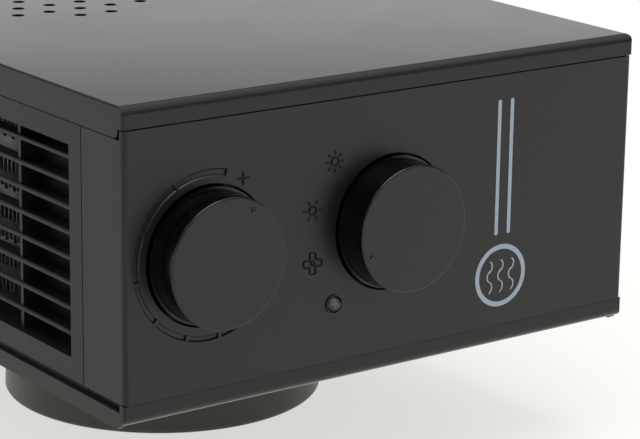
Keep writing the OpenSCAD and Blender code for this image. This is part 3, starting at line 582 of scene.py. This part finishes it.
@dataclass
class PanelMarks:
    """Symbols of the control panel: heat settings, fan, plus and minus, in raised strokes darkened with
    painted shade. Millimetres.
    """

    face_x: float = 125.0
    knob_z: float = 85.5
    thermostat_y: float = -64.3
    mode_y: float = 0.0
    relief: float = 0.28
    sink: float = 0.05
    stroke: float = 0.38
    ray_w: float = 0.475
    bar_edge: float = 0.126
    sun_r: float = 1.45
    ray_ends: tuple[float, float] = (2.1, 3.3)
    high_rays: int = 8
    low_rays: int = 6
    hub_r: float = 0.85
    blade_reach: float = 3.5
    blade_waist: float = 0.42
    blade_corner: float = 0.63
    sign_w: float = 0.6
    sign_l: float = 4.0
    # Distance from the knob's middle, and degrees clockwise from the top
    high_at: tuple[float, float] = (29.8, 314.7)
    low_at: tuple[float, float] = (29.9, 284.7)
    fan_at: tuple[float, float] = (29.8, 254.1)
    warmer_at: tuple[float, float] = (23.6, 28.9)
    cooler_at: tuple[float, float] = (23.6, 136.0)
    parts: list[bpy.types.Object] = field(default_factory=list)

    def place(self, knob_y: float, radius: float, angle: float) -> Vector:
        """Point of the panel's face round a knob.

        Args:
            knob_y: the knob's place along the panel.
            radius: distance from its middle.
            angle: clockwise from the top, in degrees.

        Returns:
            The point in metres.
        """
        a = math.radians(angle)
        point = (self.face_x - self.sink, knob_y + radius * math.sin(a), self.knob_z + radius * math.cos(a))
        return Vector(point) * MM

    def bar(self, length: float, width: float) -> bpy.types.Object:
        """Raised bar with soft upper edges, centred.

        Args:
            length: along X.
            width: along Y.

        Returns:
            The bar.
        """
        clear_selection()
        height = self.relief + self.sink
        bpy.ops.mesh.primitive_cube_add(size=MM, location=(0, 0, height / 2 * MM))
        obj = bpy.context.active_object
        obj.scale = (length, width, height)
        bpy.ops.object.transform_apply(location=True, rotation=True, scale=True)
        bpy.ops.object.mode_set(mode="EDIT")
        bpy.ops.mesh.select_mode(type="EDGE")
        bpy.ops.mesh.select_all(action="DESELECT")
        bpy.ops.object.mode_set(mode="OBJECT")
        top = height * MM - TINY
        for edge in obj.data.edges:
            edge.select = all(obj.data.vertices[i].co.z > top for i in edge.vertices)
        bpy.ops.object.mode_set(mode="EDIT")
        bpy.ops.mesh.bevel(offset=self.bar_edge * MM, segments=2)
        bpy.ops.object.mode_set(mode="OBJECT")
        self.parts.append(obj)
        return obj

    def outline(self, obj: bpy.types.Object) -> None:
        """Turns a flat face into its raised outline.

        Args:
            obj: mesh of one flat face.
        """
        hollow(obj, self.stroke * MM)
        solidify(obj, (self.relief + self.sink) * MM)
        self.parts.append(obj)

    def ring(self, radius: float) -> None:
        """Raised outline of a circle.

        Args:
            radius: outer radius.
        """
        clear_selection()
        bpy.ops.mesh.primitive_circle_add(vertices=32, radius=radius * MM, fill_type="NGON")
        self.outline(bpy.context.active_object)

    def blades(self) -> None:
        """Raised outline of four fan blades: a circle drawn in at four points, with round corners."""
        clear_selection()
        bpy.ops.mesh.primitive_circle_add(vertices=16, radius=self.blade_reach * MM, fill_type="NGON")
        obj = bpy.context.active_object
        bpy.ops.object.mode_set(mode="EDIT")
        bpy.ops.mesh.select_mode(type="VERT")
        bpy.ops.mesh.select_all(action="DESELECT")
        bpy.ops.object.mode_set(mode="OBJECT")
        for vertex in obj.data.vertices:
            vertex.select = abs(abs(vertex.co.x) - abs(vertex.co.y)) < TINY
        bpy.ops.object.mode_set(mode="EDIT")
        waist = self.blade_waist
        bpy.ops.transform.resize(value=(waist, waist, 1), center_override=(0, 0, 0))
        bpy.ops.mesh.select_all(action="SELECT")
        bpy.ops.mesh.bevel(offset=self.blade_corner * MM, segments=3, affect="VERTICES")
        bpy.ops.object.mode_set(mode="OBJECT")
        self.outline(obj)

    def cross(self) -> None:
        """Raised plus sign, two bars made one solid."""
        level = self.bar(self.sign_l, self.sign_w)
        upright = self.bar(self.sign_w, self.sign_l)
        self.parts.remove(upright)
        modifier = level.modifiers.new("cross", "BOOLEAN")
        modifier.operation, modifier.solver, modifier.object = "UNION", "EXACT", upright
        activate(level)
        bpy.ops.object.modifier_apply(modifier=modifier.name)
        activate(upright)
        bpy.ops.object.delete()

    def sun(self, count: int) -> None:
        """Ring with short bars that point away from it.

        Args:
            count: number of bars.
        """
        self.ring(self.sun_r)
        inner, outer = self.ray_ends
        first = self.bar(outer - inner, self.ray_w)
        copies = [duplicate(first) for _ in range(count - 1)]
        self.parts += copies
        for i, ray in enumerate([first, *copies]):
            ray.matrix_world = turn(360 / count * i, (inner + outer) / 2)

    def set_down(self, name: str, knob_y: float, at: tuple[float, float], painted_shade: bpy.types.Material) -> None:
        """Joins the strokes drawn so far and sets them on the panel.

        Args:
            name: name of the piece.
            knob_y: knob that the mark belongs to.
            at: distance from that knob's middle, and degrees clockwise from the top.
            painted_shade: finish, the dark painted shade of the strokes.
        """
        mark = join(self.parts, name)
        self.parts = []
        set_on_panel(mark, self.place(knob_y, *at))
        dress(mark, painted_shade, Body.HEATER)

    def build(self) -> None:
        """Models all the marks."""
        # Dark finish of the strokes: painted shade for their moulding
        painted_shade = MARK_PAINTED_SHADE.material()
        self.sun(self.high_rays)
        self.set_down("high_heat_mark", self.mode_y, self.high_at, painted_shade)
        self.sun(self.low_rays)
        self.set_down("low_heat_mark", self.mode_y, self.low_at, painted_shade)
        self.ring(self.hub_r)
        self.blades()
        self.set_down("fan_mark", self.mode_y, self.fan_at, painted_shade)
        self.cross()
        self.set_down("warmer_mark", self.thermostat_y, self.warmer_at, painted_shade)
        self.bar(self.sign_l, self.sign_w)
        self.set_down("cooler_mark", self.thermostat_y, self.cooler_at, painted_shade)


@dataclass
class PanelPrint:
    """Plain printed ornament near the panel's rear edge: a ring round three rising waves, and two stripes.

    Millimetres.
    """

    face_x: float = 125.0
    ring_y: float = 41.8
    ring_z: float = 62.1
    ring_r: float = 9.8
    ring_w: float = 1.5
    wave_w: float = 1.35
    wave_r: float = 2.0
    wave_arcs: int = 3
    wave_arc_deg: float = 110.0
    wave_gap: float = 4.2
    stripe_w: float = 1.3
    stripe_y: tuple[float, float] = (39.6, 44.4)
    stripe_z: tuple[float, float] = (75.0, 117.0)
    film: float = 0.06
    sink: float = 0.03

    def circle(self) -> bpy.types.Object:
        """Flat ring.

        Returns:
            The ring.
        """
        clear_selection()
        bpy.ops.mesh.primitive_circle_add(vertices=96, radius=self.ring_r * MM, fill_type="NGON")
        obj = bpy.context.active_object
        hollow(obj, self.ring_w * MM)
        return obj

    def wave(self) -> bpy.types.Object:
        """Flat rising wave, spun from a short edge in arcs of alternate sides.

        Returns:
            The wave.
        """
        clear_selection()
        half = self.wave_w / 2 * MM
        radius = self.wave_r * MM
        # An arc's end points lie a chord apart, and the wave leans neither way
        arc = math.radians(self.wave_arc_deg)
        chord = 2 * radius * math.sin(arc / 2)
        inset = radius * math.cos(arc / 2)
        bpy.ops.mesh.primitive_plane_add(size=MM)
        obj = bpy.context.active_object
        bpy.ops.object.mode_set(mode="EDIT")
        bpy.ops.mesh.select_mode(type="VERT")
        bpy.ops.mesh.select_all(action="SELECT")
        bpy.ops.mesh.merge(type="CENTER")
        bpy.ops.transform.translate(value=(-half, 0, 0))
        bpy.ops.mesh.extrude_region_move(TRANSFORM_OT_translate={"value": (2 * half, 0, 0)})
        bpy.ops.mesh.select_all(action="SELECT")
        bpy.ops.transform.rotate(value=-arc / 2, orient_axis="Z", center_override=(0, 0, 0))
        for i in range(self.wave_arcs):
            side = 1 if i % 2 == 0 else -1
            centre = (-side * inset, (i + 0.5) * chord, 0)
            bpy.ops.mesh.spin(steps=10, angle=-side * arc, center=centre, axis=(0, 0, 1))
        bpy.ops.mesh.select_all(action="SELECT")
        bpy.ops.transform.translate(value=(0, -self.wave_arcs / 2 * chord, 0))
        bpy.ops.object.mode_set(mode="OBJECT")
        return obj

    def stripe(self) -> bpy.types.Object:
        """Flat upright stripe with round ends, at the stripes' height.

        Returns:
            The stripe.
        """
        clear_selection()
        z0, z1 = self.stripe_z
        bpy.ops.mesh.primitive_plane_add(size=MM)
        obj = bpy.context.active_object
        obj.scale = (self.stripe_w, z1 - z0, 1)
        bpy.ops.object.transform_apply(scale=True)
        bpy.ops.object.mode_set(mode="EDIT")
        bpy.ops.mesh.select_all(action="SELECT")
        # A little under half the width, so that the round ends don't meet in a point
        bpy.ops.mesh.bevel(offset=self.stripe_w * 0.499 * MM, segments=8, affect="VERTICES")
        bpy.ops.object.mode_set(mode="OBJECT")
        obj.location.y = ((z0 + z1) / 2 - self.ring_z) * MM
        return obj

    def build(self) -> None:
        """Models the ornament as one printed film."""
        wave = self.wave()
        waves = [wave, duplicate(wave), duplicate(wave)]
        for obj, shift in zip(waves, (-self.wave_gap, 0, self.wave_gap)):
            obj.location.x = shift * MM
        stripe = self.stripe()
        stripes = [stripe, duplicate(stripe)]
        for obj, y in zip(stripes, self.stripe_y):
            obj.location.x = (y - self.ring_y) * MM
        film = join([self.circle(), *waves, *stripes], "heat_wave_print")
        solidify(film, (self.film + self.sink) * MM)
        set_on_panel(film, Vector((self.face_x - self.sink, self.ring_y, self.ring_z)) * MM)
        dress(film, PRINT_GREY.material(), Body.HEATER)


@dataclass
class Studio:
    """White studio: floor, sky, soft lamps and the camera. Metres."""

    lens: float = 144.15
    sensor: float = 36.0
    eye: tuple[float, float, float] = (0.69467, -0.44258, 0.28715)
    look: tuple[float, float, float] = (-0.77763, 0.56829, -0.26897)
    roll_deg: float = 0.76
    floor_size: float = 14.0
    sky_fill: float = 0.85
    backdrop: tuple[float, float] = (0.19, 0.235)
    ceiling: float = 0.3
    overhead: tuple[float, float] = (0.45, 0.8)
    overhead_light: float = 0.95
    shadow_share: float = 0.35
    mirror_share: float = 0.8
    front_y: tuple[float, float] = (-0.16, -0.06)
    front_light: float = 0.64
    paper: str = "#fbfbfb"
    lit_paper: str = "#fefdf9"
    key_at: tuple[float, float, float] = (0.6, 0.0, 2.2)
    key_size: float = 1.6
    key_watts: float = 20.0
    aim: tuple[float, float, float] = (0.0, 0.0, 0.08)

    def camera(self) -> None:
        """Sets the camera at the photograph's view."""
        data = bpy.data.cameras.new("camera")
        data.lens = self.lens
        data.sensor_width = self.sensor
        data.clip_start, data.clip_end = 0.01, 60.0
        obj = bpy.data.objects.new("camera", data)
        bpy.context.scene.collection.objects.link(obj)
        forward = Vector(self.look).normalized()
        right = forward.cross(Vector((0, 0, 1))).normalized()
        up = right.cross(forward)
        roll = math.radians(self.roll_deg)
        right, up = right * math.cos(roll) + up * math.sin(roll), up * math.cos(roll) - right * math.sin(roll)
        axes = Matrix((right, up, -forward)).transposed().to_4x4()
        obj.matrix_world = Matrix.Translation(self.eye) @ axes
        bpy.context.scene.camera = obj

    def floor(self) -> None:
        """Lays a plain white floor."""
        clear_selection()
        bpy.ops.mesh.primitive_plane_add(size=self.floor_size)
        obj = bpy.context.active_object
        obj.name = "studio_floor"
        material, tree = new_material("white_paper")
        paper = add_node(tree, "ShaderNodeBsdfDiffuse", None, {"Color": linear(self.paper)})
        # Lit from below like a light table: white to the eye and in reflections, with a soft shadow. Its
        # light falls off in front of the heater, where only reflections show it
        path = add_node(tree, "ShaderNodeLightPath")
        spot = add_node(tree, "ShaderNodeTexCoord").outputs["Object"]
        place = add_node(tree, "ShaderNodeSeparateXYZ", {0: spot})
        front = add_node(
            tree, "ShaderNodeMapRange", {"Value": place.outputs["Y"]},
            {"From Min": self.front_y[0], "From Max": self.front_y[1],
             "To Min": self.front_light, "To Max": 1.0},
            interpolation_type="SMOOTHSTEP",
        )
        level = add_node(
            tree, "ShaderNodeMix", {0: path.outputs["Is Camera Ray"], 2: front.outputs["Result"]}, {3: 1.0},
        )
        white = add_node(
            tree, "ShaderNodeEmission", {"Strength": level.outputs[0]}, {"Color": linear(self.lit_paper)},
        )
        mirrored = add_node(
            tree, "ShaderNodeMath",
            {0: path.outputs["Is Glossy Ray"], 1: path.outputs["Is Transmission Ray"]}, operation="MAXIMUM",
        )
        glint = add_node(
            tree, "ShaderNodeMath", {0: mirrored.outputs[0]}, {1: self.mirror_share}, operation="MULTIPLY",
        )
        eye = add_node(
            tree, "ShaderNodeMath", {0: path.outputs["Is Camera Ray"]}, {1: 1.0 - self.shadow_share},
            operation="MULTIPLY",
        )
        share = add_node(
            tree, "ShaderNodeMath", {0: glint.outputs[0], 1: eye.outputs[0]}, operation="MAXIMUM",
        )
        shader = add_node(
            tree, "ShaderNodeMixShader",
            {0: share.outputs[0], 1: paper.outputs[0], 2: white.outputs[0]},
        )
        close_material(tree, shader)
        obj.data.materials.append(material)

    def sky(self) -> None:
        """Makes the surroundings white to the eye and in reflections, and a soft fill otherwise."""
        world = bpy.data.worlds.new("white_studio")
        bpy.context.scene.world = world
        world.use_nodes = True
        tree = world.node_tree
        tree.nodes.clear()
        path = add_node(tree, "ShaderNodeLightPath")
        seen = add_node(
            tree, "ShaderNodeMath",
            {0: path.outputs["Is Glossy Ray"], 1: path.outputs["Is Transmission Ray"]}, operation="MAXIMUM",
        )
        # The white backdrop ends a little above the horizon. A greyer wall follows, then a soft light above
        place = add_node(tree, "ShaderNodeTexCoord")
        height = add_node(tree, "ShaderNodeSeparateXYZ", {0: place.outputs["Generated"]})
        wall = add_node(
            tree, "ShaderNodeMapRange", {"Value": height.outputs["Z"]},
            {"From Min": self.backdrop[0], "From Max": self.backdrop[1],
             "To Min": 1.0, "To Max": self.ceiling},
            interpolation_type="SMOOTHSTEP",
        )
        top = add_node(
            tree, "ShaderNodeMapRange", {"Value": height.outputs["Z"]},
            {"From Min": self.overhead[0], "From Max": self.overhead[1], "To Max": self.overhead_light},
            interpolation_type="SMOOTHSTEP",
        )
        mirrored = add_node(
            tree, "ShaderNodeMath",
            {0: wall.outputs["Result"], 1: top.outputs["Result"]}, operation="MAXIMUM",
        )
        fill = add_node(
            tree, "ShaderNodeMix", {0: seen.outputs[0], 3: mirrored.outputs[0]}, {2: self.sky_fill},
        )
        strength = add_node(
            tree, "ShaderNodeMix", {0: path.outputs["Is Camera Ray"], 2: fill.outputs[0]}, {3: 1.0},
        )
        sky = add_node(
            tree, "ShaderNodeBackground", {"Strength": strength.outputs[0]}, {"Color": linear("#ffffff")},
        )
        add_node(tree, "ShaderNodeOutputWorld", {"Surface": sky.outputs[0]})

    def lamp(self, name: str, place: tuple[float, float, float], size: float, watts: float) -> None:
        """Hangs a soft square lamp that faces the heater.

        Args:
            name: the lamp's name.
            place: where it hangs.
            size: side of the square.
            watts: its power.
        """
        data = bpy.data.lights.new(name, "AREA")
        data.shape, data.size, data.energy = "SQUARE", size, watts
        obj = bpy.data.objects.new(name, data)
        bpy.context.scene.collection.objects.link(obj)
        obj.location = place
        beam = Vector(self.aim) - Vector(place)
        obj.rotation_euler = beam.to_track_quat("-Z", "Y").to_euler()

    def build(self) -> None:
        """Sets up the whole studio."""
        bpy.context.scene.view_settings.view_transform = "Standard"
        self.floor()
        self.sky()
        self.lamp("key_lamp", self.key_at, self.key_size, self.key_watts)
        self.camera()


@dataclass
class CadDress:
    """Finishes of the CAD nodes, by the record's slots."""

    nodes: dict[str, bpy.types.Object]
    subparts: list[dict[str, str]]
    face_weight: int = 80

    def crisp(self, obj: bpy.types.Object) -> None:
        """Lets large faces keep their own normals, so that only the small roundings between shade softly.

        Args:
            obj: a CAD node's object.
        """
        modifier = obj.modifiers.new("crisp_edges", "WEIGHTED_NORMAL")
        modifier.keep_sharp = True
        modifier.weight = self.face_weight

    def build(self) -> None:
        """Dresses every node."""
        made = {slot.value: finish.material() for slot, finish in FINISHES.items()}
        # The foot takes the paler, warmer copy of the shell's plastic: painted light
        special = {"foot_shell": FOOT_PAINTED_LIT.material()}
        for part in self.subparts:
            obj = self.nodes[part["node"]]
            obj.data.materials.clear()
            obj.data.materials.append(special.get(part["node"], made[part["material_slot"]]))
            self.crisp(obj)
            log.info("node %s in %s", part["node"], part["material_slot"])


def main() -> None:
    """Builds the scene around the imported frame."""
    logging.basicConfig(level=logging.INFO)
    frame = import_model()
    CadDress(frame["nodes"], frame["record"]["subparts"]).build()
    PanelMarks().build()
    PanelPrint().build()
    Studio().build()


if __name__ == "__main__":
    main()
